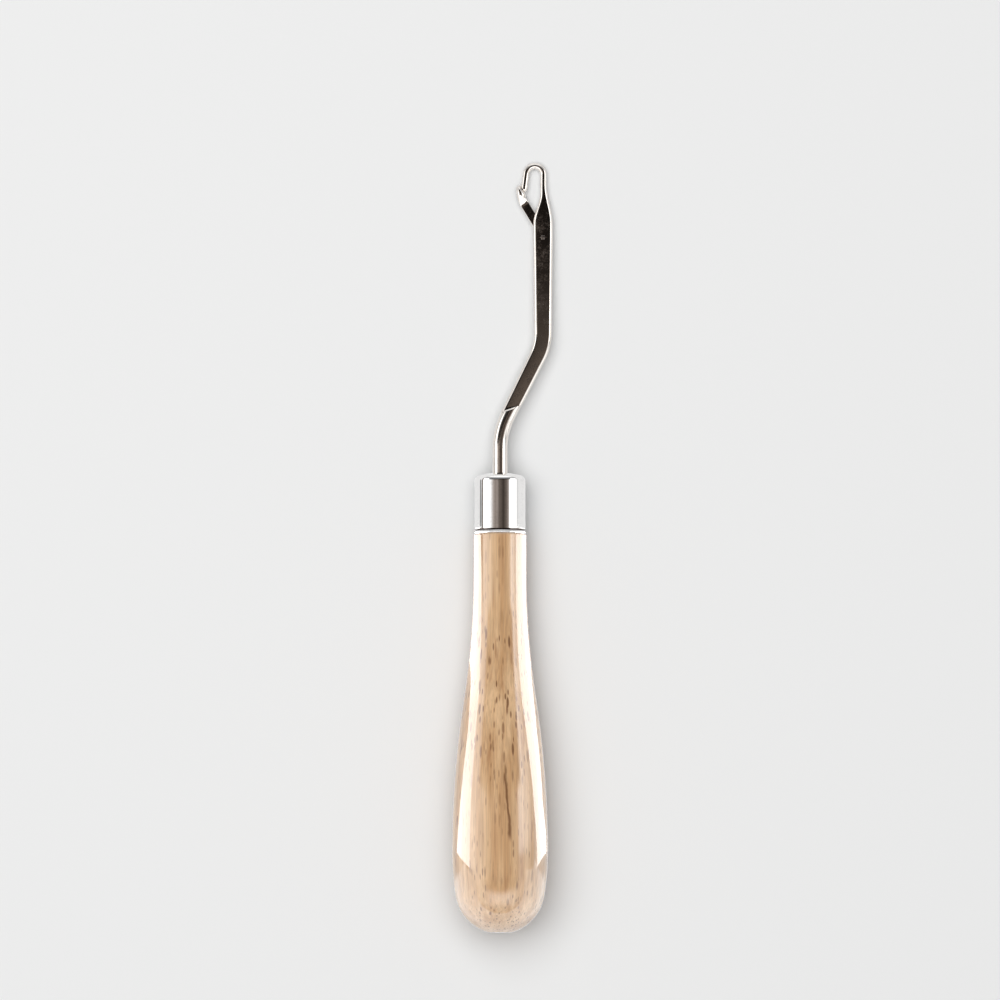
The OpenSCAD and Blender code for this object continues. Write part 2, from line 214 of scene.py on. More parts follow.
def crown_circle(hook):
    """Centre, from the rivet, and radius of the crown's centre line."""
    radius = (hook.throat + hook.hook_thickness) / 2
    return Vector((hook.stem_shift - radius,
                   hook.reach - hook.hook_thickness / 2 - radius)), radius


def line_to(bm, tip, radius, along):
    """Draws a straight edge of a profile and returns its end."""
    new = bmesh.ops.extrude_vert_indiv(bm, verts=[tip])["verts"][0]
    new.co = (radius, along, 0.0)
    return new


def arc_to(bm, tip, centre, turn, steps):
    """Draws an arc of a profile round a centre and returns its end."""
    spun = bmesh.ops.spin(bm, geom=[tip], cent=(centre[0], centre[1], 0.0), axis=(0.0, 0.0, 1.0),
                          angle=turn, steps=steps, use_merge=False, use_duplicate=False)
    return [v for v in spun["geom_last"] if isinstance(v, bmesh.types.BMVert)][0]


def turn_profile(bm, segments):
    """Turns the drawn profile round the tool's axis into a closed skin."""
    bmesh.ops.spin(bm, geom=bm.verts[:] + bm.edges[:], cent=(0.0, 0.0, 0.0), axis=(0.0, 1.0, 0.0),
                   angle=math.tau, steps=segments, use_merge=True, use_duplicate=False)
    bmesh.ops.remove_doubles(bm, verts=bm.verts[:], dist=1e-7)
    bmesh.ops.dissolve_degenerate(bm, edges=bm.edges[:], dist=1e-8)
    bmesh.ops.recalc_face_normals(bm, faces=bm.faces[:])


def smooth_step(way, start, run):
    """Smooth step from 0 to 1 that begins at one distance and takes a given length."""
    return (1.0 - math.cos(math.pi * min(1.0, max(0.0, (way - start) / run)))) / 2.0


def mix(a, b, part):
    """Value between two others."""
    return a + (b - a) * part


def start_ring(bm, count):
    """First ring of a swept piece. Each point keeps its number in a layer."""
    number = bm.verts.layers.int.new("ring_number")
    circle = bmesh.ops.create_circle(bm, cap_ends=False, segments=count, radius=MM)["verts"]
    for i, v in enumerate(circle):
        v[number] = i
    return circle, bm.edges[:]


def grow_ring(bm, edges):
    """Extrudes the last ring and returns the new one."""
    grown = bmesh.ops.extrude_edge_only(bm, edges=edges)["geom"]
    verts = [g for g in grown if isinstance(g, bmesh.types.BMVert)]
    ring = set(verts)
    rim = [g for g in grown if isinstance(g, bmesh.types.BMEdge)
           and g.verts[0] in ring and g.verts[1] in ring]
    return verts, rim


def sweep(bm, sections, count, shape):
    """Grows a closed skin through a row of sections."""
    verts, rim = start_ring(bm, count)
    number = bm.verts.layers.int["ring_number"]
    bmesh.ops.contextual_create(bm, geom=rim)
    for row, section in enumerate(sections):
        if row:
            verts, rim = grow_ring(bm, rim)
        for v in verts:
            v.co = shape(section, math.tau * (v[number] + 0.5) / count)
    bmesh.ops.contextual_create(bm, geom=rim)
    bmesh.ops.recalc_face_normals(bm, faces=bm.faces[:])


def smooth_but_creases(mesh):
    """Shades a mesh smooth and keeps its creases sharp."""
    mesh.shade_smooth()
    mesh.set_sharp_from_angle(angle=CREASE)


def make_piece(name, bm, matrix=Matrix()):
    """Turns a bmesh into a finished object in the row frame."""
    bm.transform(matrix)
    mesh = bpy.data.meshes.new(name)
    bm.to_mesh(mesh)
    bm.free()
    piece = bpy.data.objects.new(name, mesh)
    bpy.context.scene.collection.objects.link(piece)
    smooth_but_creases(mesh)
    return piece


def cut_away(piece, cutters):
    """Cuts the given objects out of a piece for good and deletes them."""
    for cutter in cutters:
        cut = piece.modifiers.new("Cut", "BOOLEAN")
        cut.operation, cut.solver, cut.object = "DIFFERENCE", "EXACT", cutter
    depsgraph = bpy.context.evaluated_depsgraph_get()
    mesh = bpy.data.meshes.new_from_object(piece.evaluated_get(depsgraph))
    piece.modifiers.clear()
    old = piece.data
    piece.data = mesh
    bpy.data.meshes.remove(old)
    mesh.name = piece.name
    for cutter in cutters:
        bpy.data.objects.remove(cutter)
    bm = bmesh.new()
    bm.from_mesh(mesh)
    bmesh.ops.triangulate(bm, faces=[f for f in bm.faces if len(f.verts) > 4],
                          quad_method="BEAUTY", ngon_method="BEAUTY")
    bm.to_mesh(mesh)
    bm.free()
    smooth_but_creases(mesh)


def even_shading(piece):
    """Lets wide flat faces keep their own normals beside narrow round edges."""
    evened = piece.modifiers.new("Even shading", "WEIGHTED_NORMAL")
    evened.mode, evened.weight, evened.keep_sharp = "FACE_AREA_WITH_ANGLE", 80, True


def rod(name, diameter, height, matrix, segments=64):
    """A round cutter that stands along Z of its own frame."""
    bm = bmesh.new()
    tip = bm.verts.new((0.0, -height / 2, 0.0))
    tip = line_to(bm, tip, diameter / 2, -height / 2)
    tip = line_to(bm, tip, diameter / 2, height / 2)
    line_to(bm, tip, 0.0, height / 2)
    turn_profile(bm, segments)
    return make_piece(name, bm, matrix @ Matrix.Rotation(math.pi / 2, 4, "X"))


# Materials

def bare_wiring(owner):
    """Wiring for the emptied node tree of a material or a world."""
    owner.use_nodes = True
    owner.node_tree.nodes.clear()
    return Wiring(owner.node_tree)


def new_material(name):
    """A material, its wiring and a Principled shader that is joined to its output."""
    material = bpy.data.materials.new(name)
    w = bare_wiring(material)
    shader = w.node("ShaderNodeBsdfPrincipled")
    w.join(shader.outputs["BSDF"], w.node("ShaderNodeOutputMaterial").inputs["Surface"])
    return material, w, shader


def new_group(name, inputs, outputs):
    """A shader node group with named sockets, and its input and output nodes."""
    group = bpy.data.node_groups.new(name, "ShaderNodeTree")
    for socket, kind, value in inputs:
        made = group.interface.new_socket(socket, in_out="INPUT", socket_type=kind)
        if value is not None:
            made.default_value = value
    for socket, kind in outputs:
        group.interface.new_socket(socket, in_out="OUTPUT", socket_type=kind)
    return group, group.nodes.new("NodeGroupInput"), group.nodes.new("NodeGroupOutput")


class Wiring:
    """Short ways to add and join nodes in one tree."""

    def __init__(self, tree):
        self.tree = tree

    def node(self, kind, **values):
        made = self.tree.nodes.new(kind)
        for key, value in values.items():
            setattr(made, key, value)
        return made

    def join(self, source, socket):
        if hasattr(source, "is_output"):
            self.tree.links.new(source, socket)
        else:
            socket.default_value = source

    def math(self, operation, *values, kind="ShaderNodeMath"):
        made = self.node(kind, operation=operation)
        for value, socket in zip(values, made.inputs):
            self.join(value, socket)
        return made.outputs[0]

    def vector(self, operation, *values):
        return self.math(operation, *values, kind="ShaderNodeVectorMath")

    def split(self, vector):
        made = self.node("ShaderNodeSeparateXYZ")
        self.join(vector, made.inputs[0])
        return made.outputs

    def here(self):
        return self.node("ShaderNodeTexCoord").outputs["Object"]

    def drawn_out(self, place, across, along):
        return self.vector("MULTIPLY", place, (across, along, across))

    def noise(self, vector, scale, detail=2.0, roughness=0.5):
        made = self.node("ShaderNodeTexNoise")
        self.join(vector, made.inputs["Vector"])
        self.join(scale, made.inputs["Scale"])
        made.inputs["Detail"].default_value = detail
        made.inputs["Roughness"].default_value = roughness
        return made.outputs["Fac"]

    def ramp(self, value, low, high, to_low=0.0, to_high=1.0, smooth=True):
        made = self.node("ShaderNodeMapRange",
                         interpolation_type="SMOOTHSTEP" if smooth else "LINEAR")
        for source, socket in zip((value, low, high, to_low, to_high), made.inputs):
            self.join(source, socket)
        return made.outputs["Result"]

    def blend(self, part, first, second, blend_type="MIX"):
        made = self.node("ShaderNodeMix", data_type="RGBA", blend_type=blend_type)
        sockets = [socket for socket in made.inputs if socket.enabled]
        for value, socket in zip((part, first, second), sockets):
            self.join(value, socket)
        return next(socket for socket in made.outputs if socket.enabled)

    def grey(self, value):
        made = self.node("ShaderNodeCombineColor")
        for socket in made.inputs[:3]:
            self.join(value, socket)
        return made.outputs[0]


STREAK = (0.33, 0.145, 0.055, 1.0)
# Dark colour painted over the ferrule's groove as its shade
GROOVE_SHADE = (0.05, 0.035, 0.028, 1.0)

# Pores of two sizes: cells a metre across and along the grain, reach of a pore in its cell,
# share of the cells without one and shift of the pattern
PORES = ((1000.0, 180.0, 0.36, 0.34, 0.013), (1700.0, 300.0, 0.36, 0.40, 0.0))

# The dark vein: its distance from the middle plane at the butt, how that falls along the tool,
# the place of its middle, and the distances from there at which it fades
VEIN_START, VEIN_SLOPE = 3.7 * MM, -0.078
VEIN_MIDDLE, VEIN_ENDS = 27.5 * MM, (6.5 * MM, 8.8 * MM)


def wood_group():
    """Fine grain, pores and streaks that run along the Y axis of the given coordinates."""
    group, given, made = new_group("Pored Wood", [
        ("Vector", "NodeSocketVector", None),
        ("Wood", "NodeSocketColor", (0.62, 0.37, 0.20, 1.0)),
        ("Pale Wood", "NodeSocketColor", (0.74, 0.50, 0.31, 1.0)),
        ("Pore", "NodeSocketColor", (0.20, 0.10, 0.045, 1.0)),
    ], [("Color", "NodeSocketColor"), ("Roughness", "NodeSocketFloat"),
        ("Height", "NodeSocketFloat")])
    w = Wiring(group)
    place = given.outputs["Vector"]
    # Wide soft bands and narrow fibres, both drawn out along the grain
    band = w.noise(w.drawn_out(place, 420.0, 14.0), 1.0, 3.0, 0.6)
    fibre = w.noise(w.drawn_out(place, 3200.0, 70.0), 1.0, 3.0, 0.6)
    colour_now = w.blend(w.ramp(band, 0.34, 0.66), given.outputs["Wood"],
                         given.outputs["Pale Wood"])
    shade = w.ramp(fibre, 0.3, 0.7, 0.84, 1.08)
    colour_now = w.blend(1.0, colour_now, w.grey(shade), "MULTIPLY")
    # Long reddish streaks, sparse and soft
    streak = w.noise(w.drawn_out(place, 1300.0, 34.0), 1.0, 2.0, 0.55)
    streak = w.math("MULTIPLY", w.ramp(streak, 0.57, 0.72), 0.5)
    colour_now = w.blend(streak, colour_now, STREAK)
    # Short open pores, as the turned surface cuts the long cells
    pores = None
    for across, along, reach, kept, seed in PORES:
        cell = w.node("ShaderNodeTexVoronoi", feature="F1")
        shifted = w.vector("ADD", place, (seed, seed, seed))
        w.join(w.drawn_out(shifted, across, along), cell.inputs["Vector"])
        cell.inputs["Scale"].default_value = 1.0
        cell.inputs["Randomness"].default_value = 1.0
        spot = w.ramp(cell.outputs["Distance"], reach * 0.5, reach, 1.0, 0.0)
        chance = w.node("ShaderNodeSeparateColor")
        w.join(cell.outputs["Color"], chance.inputs[0])
        spot = w.math("MULTIPLY", spot, w.ramp(chance.outputs[0], kept, kept + 0.3))
        pores = spot if pores is None else w.math("MAXIMUM", pores, spot)
    crowd = w.noise(w.drawn_out(place, 150.0, 24.0), 1.0, 1.0)
    pores = w.math("MULTIPLY", pores, w.ramp(crowd, 0.32, 0.54, 0.35, 1.0))
    # Fewer pores towards the neck
    x, y, z = w.split(place)
    pores = w.math("MULTIPLY", pores, w.ramp(y, 62.0 * MM, 74.0 * MM, 1.0, 0.35))
    # One long dark vein that wavers along the upper side of the bulb, widest near the butt
    waver = w.math("MULTIPLY", w.math("SUBTRACT", w.noise(place, 260.0, 2.0), 0.5), 1.2 * MM)
    course = w.math("MULTIPLY_ADD", y, VEIN_SLOPE, VEIN_START)
    off = w.math("ABSOLUTE", w.math("SUBTRACT", w.math("SUBTRACT", x, course), waver))
    width = w.ramp(y, 20.0 * MM, 25.0 * MM, 0.65 * MM, 0.40 * MM)
    vein = w.ramp(off, 0.10 * MM, width, 1.0, 0.0)
    ends = w.math("ABSOLUTE", w.math("SUBTRACT", y, VEIN_MIDDLE))
    vein = w.math("MULTIPLY", vein, w.ramp(ends, *VEIN_ENDS, 1.0, 0.0))
    vein = w.math("MULTIPLY", vein, w.ramp(z, 0.0, 1.0 * MM))
    vein = w.math("MULTIPLY", vein, w.ramp(fibre, 0.35, 0.55, 0.55, 1.0))
    pores = w.math("MAXIMUM", pores, vein)
    colour_now = w.blend(w.math("MULTIPLY", pores, 0.92), colour_now, given.outputs["Pore"])
    w.join(colour_now, made.inputs["Color"])
    w.join(w.ramp(fibre, 0.3, 0.7, 0.42, 0.55), made.inputs["Roughness"])
    w.join(w.math("SUBTRACT", w.math("MULTIPLY", fibre, 0.15), pores), made.inputs["Height"])
    return group


def metal_group():
    """Fine drawn texture, cloudy patches and small specks of a plated surface, and a dark ring of
    painted shade.
    """
    group, given, made = new_group("Plated Surface", [
        ("Vector", "NodeSocketVector", None),
        ("Metal", "NodeSocketColor", (0.8, 0.8, 0.8, 1.0)),
        ("Dull", "NodeSocketFloat", 0.3),
        ("Lowest Roughness", "NodeSocketFloat", 0.05),
        ("Highest Roughness", "NodeSocketFloat", 0.2),
        # Where the painted shade of a groove begins and ends along the tool
        ("Groove Shade From", "NodeSocketFloat", 0.0),
        ("Groove Shade To", "NodeSocketFloat", 0.0),
    ], [("Color", "NodeSocketColor"), ("Roughness", "NodeSocketFloat"),
        ("Height", "NodeSocketFloat")])
    w = Wiring(group)
    place = given.outputs["Vector"]
    cloud = w.noise(place, 420.0, 4.0, 0.6)
    speck = w.noise(place, 3000.0, 3.0, 0.6)
    mottle = w.math("ADD", w.math("MULTIPLY", cloud, 0.45), w.math("MULTIPLY", speck, 0.55))
    worn = w.ramp(mottle, 0.45, 0.62)
    grey = w.grey(w.math("SUBTRACT", 1.0, w.math("MULTIPLY", worn, given.outputs["Dull"])))
    plated = w.blend(1.0, given.outputs["Metal"], grey, "MULTIPLY")
    # Painted shade: a dark ring between two distances along the tool, which darkens the plating
    # where the ferrule's groove lies in shadow
    along = w.split(place)[1]
    groove_shade = w.math("MULTIPLY", w.math("GREATER_THAN", along, given.outputs["Groove Shade From"]),
                   w.math("LESS_THAN", along, given.outputs["Groove Shade To"]))
    w.join(w.blend(groove_shade, plated, GROOVE_SHADE), made.inputs["Color"])
    w.join(w.ramp(mottle, 0.46, 0.66, given.outputs["Lowest Roughness"],
                  given.outputs["Highest Roughness"]), made.inputs["Roughness"])
    w.join(mottle, made.inputs["Height"])
    return group


def along_tool_mapping(w, context):
    """Object coordinates turned so that Y runs along the tool and starts at the butt."""
    mapping = w.node("ShaderNodeMapping", vector_type="POINT")
    place, turn, _ = tool_place(context).inverted().decompose()
    mapping.inputs["Location"].default_value = place
    mapping.inputs["Rotation"].default_value = turn.to_euler()
    w.join(w.here(), mapping.inputs["Vector"])
    return mapping.outputs["Vector"]


def surface_from(group, build, w, shader, context, values, bump, depth):
    """Places a shared node group in a material with its own values. The group is built once,
    and gives the colour, the roughness and the relief."""
    surface = w.node("ShaderNodeGroup", node_tree=bpy.data.node_groups.get(group) or build())
    w.join(along_tool_mapping(w, context), surface.inputs["Vector"])
    for socket, value in values.items():
        surface.inputs[socket].default_value = value
    w.join(surface.outputs["Color"], shader.inputs["Base Color"])
    w.join(surface.outputs["Roughness"], shader.inputs["Roughness"])
    relief = w.node("ShaderNodeBump")
    relief.inputs["Strength"].default_value = bump
    relief.inputs["Distance"].default_value = depth
    w.join(surface.outputs["Height"], relief.inputs["Height"])
    w.join(relief.outputs["Normal"], shader.inputs["Normal"])


def plated_material(context, name, metal, dull, lowest, highest, bump, groove_shade=(0.0, 0.0)):
    """A plated metal with its own colour, clouding and roughness, and a dark ring of painted shade
    between two distances along the tool.
    """
    material, w, shader = new_material(name)
    surface_from("Plated Surface", metal_group, w, shader, context, {
        "Metal": (*metal, 1.0), "Dull": dull, "Lowest Roughness": lowest,
        "Highest Roughness": highest, "Groove Shade From": groove_shade[0], "Groove Shade To": groove_shade[1],
    }, bump, 0.01 * MM)
    shader.inputs["Metallic"].default_value = 1.0
    return material


def wood_material(context):
    """Pale pored wood under a thick clear lacquer."""
    handle = context.scene.latch_hook_handle
    material, w, shader = new_material("lacquered_wood")
    surface_from("Pored Wood", wood_group, w, shader, context, {
        "Wood": (*handle.wood, 1.0), "Pale Wood": (*handle.pale_wood, 1.0),
        "Pore": (*handle.pore, 1.0),
    }, 0.25, 0.03 * MM)
    shader.inputs["Coat Weight"].default_value = 1.0
    shader.inputs["Coat Roughness"].default_value = 0.035
    shader.inputs["Coat IOR"].default_value = 1.9
    return material


# Pieces

class LATCHHOOK_OT_handle(bpy.types.Operator):
    """Turn the lacquered wooden handle with its spigot and tang hole"""
    bl_idname = "latch_hook.handle"
    bl_label = "Handle"

    def execute(self, context):
        handle = context.scene.latch_hook_handle
        bulb_r, neck_r = handle.bulb_diameter / 2, handle.neck_diameter / 2
        butt_r = bulb_r - handle.butt_inset
        flat_r = handle.butt_flat / 2
        butt_centre = math.sqrt(butt_r ** 2 - flat_r ** 2)
        heel_run = handle.bulb_at - butt_centre
        heel_r = (heel_run ** 2 + bulb_r ** 2 - butt_r ** 2) / (2 * (bulb_r - butt_r))
        heel_turn = math.asin(heel_run / (heel_r - butt_r))
        waist_end = handle.length_shown - handle.neck_length
        waist_turn = 2 * math.atan((bulb_r - neck_r) / (waist_end - handle.bulb_at))
        belly_r = (handle.turn_at - handle.bulb_at) / math.sin(waist_turn)
        hollow_r = (waist_end - handle.turn_at) / math.sin(waist_turn)
        hole_r = context.scene.latch_hook_hook.wire_diameter / 2
        spigot_r = handle.spigot_diameter / 2
        spigot_end = handle.length_shown + handle.spigot_length
        spigot_chamfer = 0.5 * MM
        bm = bmesh.new()
        tip = bm.verts.new((0.0, 0.0, 0.0))
        tip = line_to(bm, tip, flat_r, 0.0)
        butt_turn = math.pi / 2 - heel_turn - math.asin(flat_r / butt_r)
        tip = arc_to(bm, tip, (0.0, butt_centre), butt_turn, steps=26)
        tip = arc_to(bm, tip, (bulb_r - heel_r, handle.bulb_at), heel_turn, steps=8)
        tip = arc_to(bm, tip, (bulb_r - belly_r, handle.bulb_at), waist_turn, steps=26)
        tip = arc_to(bm, tip, (neck_r + hollow_r, waist_end), -waist_turn, steps=22)
        tip = line_to(bm, tip, neck_r, handle.length_shown - handle.neck_chamfer)
        tip = line_to(bm, tip, neck_r - handle.neck_chamfer, handle.length_shown)
        tip = line_to(bm, tip, spigot_r, handle.length_shown)
        tip = line_to(bm, tip, spigot_r, spigot_end - spigot_chamfer)
        tip = line_to(bm, tip, spigot_r - spigot_chamfer, spigot_end)
        tip = line_to(bm, tip, hole_r, spigot_end)
        tip = line_to(bm, tip, hole_r, handle.length_shown - handle.tang_hole)
        line_to(bm, tip, 0.0, handle.length_shown - handle.tang_hole)
        turn_profile(bm, context.scene.latch_hook_studio.segments)
        piece = make_piece("wooden_handle", bm, tool_place(context))
        piece.data.materials.append(wood_material(context))
        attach(piece, "tool")
        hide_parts("handle")
        return {"FINISHED"}


class LATCHHOOK_OT_ferrule(bpy.types.Operator):
    """Turn the bright plated ferrule with its rolled lip and domed front"""
    bl_idname = "latch_hook.ferrule"
    bl_label = "Ferrule"

    def execute(self, context):
        ferrule = context.scene.latch_hook_ferrule
        start = context.scene.latch_hook_handle.length_shown
        outer_r, inner_r = ferrule.diameter / 2, ferrule.diameter / 2 - ferrule.wall
        rim = start + ferrule.length_shown
        flat_r = outer_r - ferrule.nose_radius
        dome_r = (flat_r ** 2 + ferrule.dome_height ** 2) / (2 * ferrule.dome_height)
        dome_centre = rim + ferrule.dome_height - dome_r
        hole_r = ferrule.hole_diameter / 2
        lip_r = ferrule.lip_thickness / 2
        lip_x = outer_r + ferrule.lip_proud - lip_r
        lip_turn = math.radians(160)
        groove_from = start + 1.15 * ferrule.lip_thickness
        groove_to = groove_from + ferrule.groove_width
        groove_r = outer_r - ferrule.groove_depth
        shoulder_r, inner_nose_r = 0.1 * MM, 0.8 * MM
        bm = bmesh.new()
        first = bm.verts.new((inner_r, start, 0.0))
        tip = line_to(bm, first, lip_x, start)
        tip = arc_to(bm, tip, (lip_x, start + lip_r), lip_turn, steps=14)
        tip = line_to(bm, tip, groove_r, groove_from)
        tip = line_to(bm, tip, groove_r, groove_to - shoulder_r)
        tip = line_to(bm, tip, outer_r - shoulder_r, groove_to - shoulder_r)
        tip = arc_to(bm, tip, (outer_r - shoulder_r, groove_to), math.pi / 2, steps=5)
        tip = line_to(bm, tip, outer_r, rim - ferrule.nose_radius)
        tip = arc_to(bm, tip, (flat_r, rim - ferrule.nose_radius), math.pi / 2, steps=14)
        dome_turn = math.asin(flat_r / dome_r) - math.asin(hole_r / dome_r)
        tip = line_to(bm, tip, flat_r, rim)
        tip = arc_to(bm, tip, (0.0, dome_centre), dome_turn, steps=10)
        tip = line_to(bm, tip, hole_r, rim - ferrule.wall)
        tip = line_to(bm, tip, inner_r - inner_nose_r, rim - ferrule.wall)
        tip = arc_to(bm, tip, (inner_r - inner_nose_r, rim - ferrule.wall - inner_nose_r),
                     -math.pi / 2, steps=6)
        bm.edges.new((tip, first))
        turn_profile(bm, context.scene.latch_hook_studio.segments)
        piece = make_piece("plated_ferrule", bm, tool_place(context))
        even_shading(piece)
        # The dark ring painted over the groove stands for the groove's shadow
        piece.data.materials.append(
            plated_material(context, "bright_plating", ferrule.plating, 0.06, 0.05, 0.14, 0.06,
                            (groove_from, groove_to)))
        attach(piece, "tool")
        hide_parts("ferrule")
        return {"FINISHED"}


# Way along the shoulder in millimetres and how far the wire has gone flat there: a short slope
# that catches the light, then a steep drop to the blade
SHOULDER = ((0.05, 0.02), (0.10, 0.06), (0.42, 0.37), (0.46, 0.80), (0.50, 1.0))


def hook_sections(context):
    """Sections of the shank from the tang to the barb: place, heading, half widths to the
    left and to the right, half thickness and skew."""
    hook = context.scene.latch_hook_hook
    corner_1, corner_2, crank_l = crank_corners(context)
    rivet = rivet_place(context).to_2d()
    wire_r, half_t = hook.wire_diameter / 2, hook.blade_thickness / 2
    run_1 = hook.first_radius * math.tan(hook.crank / 2)
    run_2 = hook.second_radius * math.tan(hook.crank / 2)
    slant = Vector((math.sin(hook.crank), math.cos(hook.crank)))
    taper_l = crank_l - hook.flat_at + hook.blade_length
    skew = math.tan(hook.crank + hook.flat_slope)
    shoulder_from = hook.flat_at - 0.41 * MM
    shoulder_to = shoulder_from + SHOULDER[-1][0] * MM
    rows = []

    def add(place, heading, left, right, thick, skewed=0.0):
        rows.append((place, heading, left, right, thick, skewed))

    def half_width(way):
        return mix(hook.start_width, hook.blade_width, min(1.0, way / taper_l)) / 2

    # Tang with a chamfered end, round shank and first bend
    tang_from = context.scene.latch_hook_handle.length_shown - hook.tang_length
    chamfer = 0.3 * MM
    add(Vector((0.0, tang_from)), 0.0, *[wire_r - chamfer] * 3)
    add(Vector((0.0, tang_from + chamfer)), 0.0, *[wire_r] * 3)
    bend_centre = Vector((hook.first_radius, corner_1.y - run_1))
    for step in range(13):
        turn = hook.crank * step / 12
        place = bend_centre + hook.first_radius * Vector((-math.cos(turn), math.sin(turn)))
        add(place, turn, *[wire_r] * 3)
    # The skew comes in while the wire is round, and goes out along the blade
    for step in range(1, 7):
        part = step / 6
        way = mix(run_1, shoulder_from, part)
        add(corner_1 + slant * way, hook.crank, *[wire_r] * 3, skew * part ** 1.5)
    for ahead, part in SHOULDER:
        way = shoulder_from + ahead * MM
        half = mix(wire_r, half_width(0.0), part)
        add(corner_1 + slant * way, hook.crank, half, half, mix(wire_r, half_t, part), skew)
    skew_fade = 3.0 * MM
    for step in range(1, 7):
        part = step / 6
        way = shoulder_to + skew_fade * part
        half = half_width(way - hook.flat_at)
        add(corner_1 + slant * way, hook.crank, half, half, half_t, skew * (1 - part))
    # Second bend
    bend_from = crank_l - run_2
    bend_centre = corner_2 + Vector((-hook.second_radius, run_2))
    for step in range(17):
        part = step / 16
        heading = hook.crank * (1 - part)
        place = bend_centre + hook.second_radius * Vector((math.cos(heading), -math.sin(heading)))
        half = half_width(bend_from - hook.flat_at + 2 * run_2 * part)
        add(place, heading, half, half, half_t)
    # Blade up to the rivet, then the narrowing from flat to round
    width = hook.blade_width / 2
    for way in (-9.0, -4.5):
        half = half_width(taper_l + way * MM)
        add(rivet + Vector((0.0, way * MM)), 0.0, half, half, half_t)
    add(rivet, 0.0, width, width, half_t)
    narrow_l = max(hook.narrow_inner, hook.narrow_back)
    wire = hook.hook_thickness / 2
    for step in range(25):
        way = hook.narrow_at + narrow_l * step / 24
        inner = mix(width, wire - hook.stem_shift,
                    smooth_step(way, hook.narrow_at, hook.narrow_inner))
        back = mix(width, wire + hook.stem_shift,
                   smooth_step(way, hook.narrow_at, hook.narrow_back))
        thick = mix(half_t, wire, smooth_step(way, hook.narrow_at, narrow_l))
        add(rivet + Vector((0.0, way)), 0.0, inner, back, thick)
    # Crown, and the barb with its round tip, which ends in a small flat
    crown, crown_r = crown_circle(hook)
    crown_turn = math.pi - hook.barb_lean
    for step in range(37):
        turn = crown_turn * step / 36
        place = rivet + crown + crown_r * Vector((math.cos(turn), math.sin(turn)))
        add(place, -turn, wire, wire, wire)
    way_down = Vector((-math.sin(hook.barb_lean), -math.cos(hook.barb_lean)))
    end = rows[-1][0] + (hook.barb_length - wire) * way_down
    for step in range(9):
        turn = math.radians(84) * step / 8
        add(end + wire * math.sin(turn) * way_down, -crown_turn, *[wire * math.cos(turn)] * 3)
    return rows


def hook_point(section, turn):
    """Point of a flat section with full round edges."""
    place, heading, left, right, thick, skew = section
    edge = min(thick, (left + right) / 2)
    middle = right - edge if math.cos(turn) > 0 else edge - left
    across = middle + edge * math.cos(turn)
    sideways = Vector((math.cos(heading), -math.sin(heading)))
    ahead = Vector((math.sin(heading), math.cos(heading)))
    flat = place + sideways * across + ahead * across * skew
    return Vector((flat.x, flat.y, thick * math.sin(turn)))


class LATCHHOOK_OT_hook(bpy.types.Operator):
    """Sweep the cranked wire with its flat blade and hook, then slot and drill it"""
    bl_idname = "latch_hook.hook"
    bl_label = "Hook and shank"

    def execute(self, context):
        hook, latch = context.scene.latch_hook_hook, context.scene.latch_hook_latch
        place = tool_place(context)
        rivet = rivet_place(context)
        bm = bmesh.new()
        sweep(bm, hook_sections(context), 40, hook_point)
        piece = make_piece("hook_and_shank", bm, place)
        saw_x = rivet.x + hook.slot_reach - hook.saw_diameter / 2
        slot = rod("slot_cutter", hook.saw_diameter, hook.slot_width,
                   place @ Matrix.Translation((saw_x, rivet.y, 0.0)), segments=160)
        play = 0.01 * MM
        hole = rod("hole_cutter", latch.rivet_diameter + play, 3 * hook.blade_thickness,
                   place @ Matrix.Translation(rivet))
        cut_away(piece, [slot, hole])
        even_shading(piece)
        piece.data.materials.append(
            plated_material(context, "plated_hook_steel", hook.steel, 0.08, 0.05, 0.22, 0.035))
        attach(piece, "tool")
        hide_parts("hook_shank")
        return {"FINISHED"}


def latch_place(context):
    """Matrix from the latch's own frame, X along the bar and -Y towards the barb, and the
    distance from the rivet to the middle of the spoon."""
    hook, latch = context.scene.latch_hook_hook, context.scene.latch_hook_latch
    wire = hook.hook_thickness / 2
    turn = math.pi - hook.barb_lean
    crown, crown_r = crown_circle(hook)
    end = crown + crown_r * Vector((math.cos(turn), math.sin(turn)))
    end -= (hook.barb_length - wire) * Vector((math.sin(hook.barb_lean), math.cos(hook.barb_lean)))
    seat_turn = math.asin((latch.seat + latch.gap + wire) / end.length)
    closed = math.atan2(-end.x, end.y) + seat_turn
    matrix = (tool_place(context) @ Matrix.Translation(rivet_place(context))
              @ Matrix.Rotation(math.pi / 2 + closed, 4, "Z"))
    return matrix, end.length * math.cos(seat_turn)


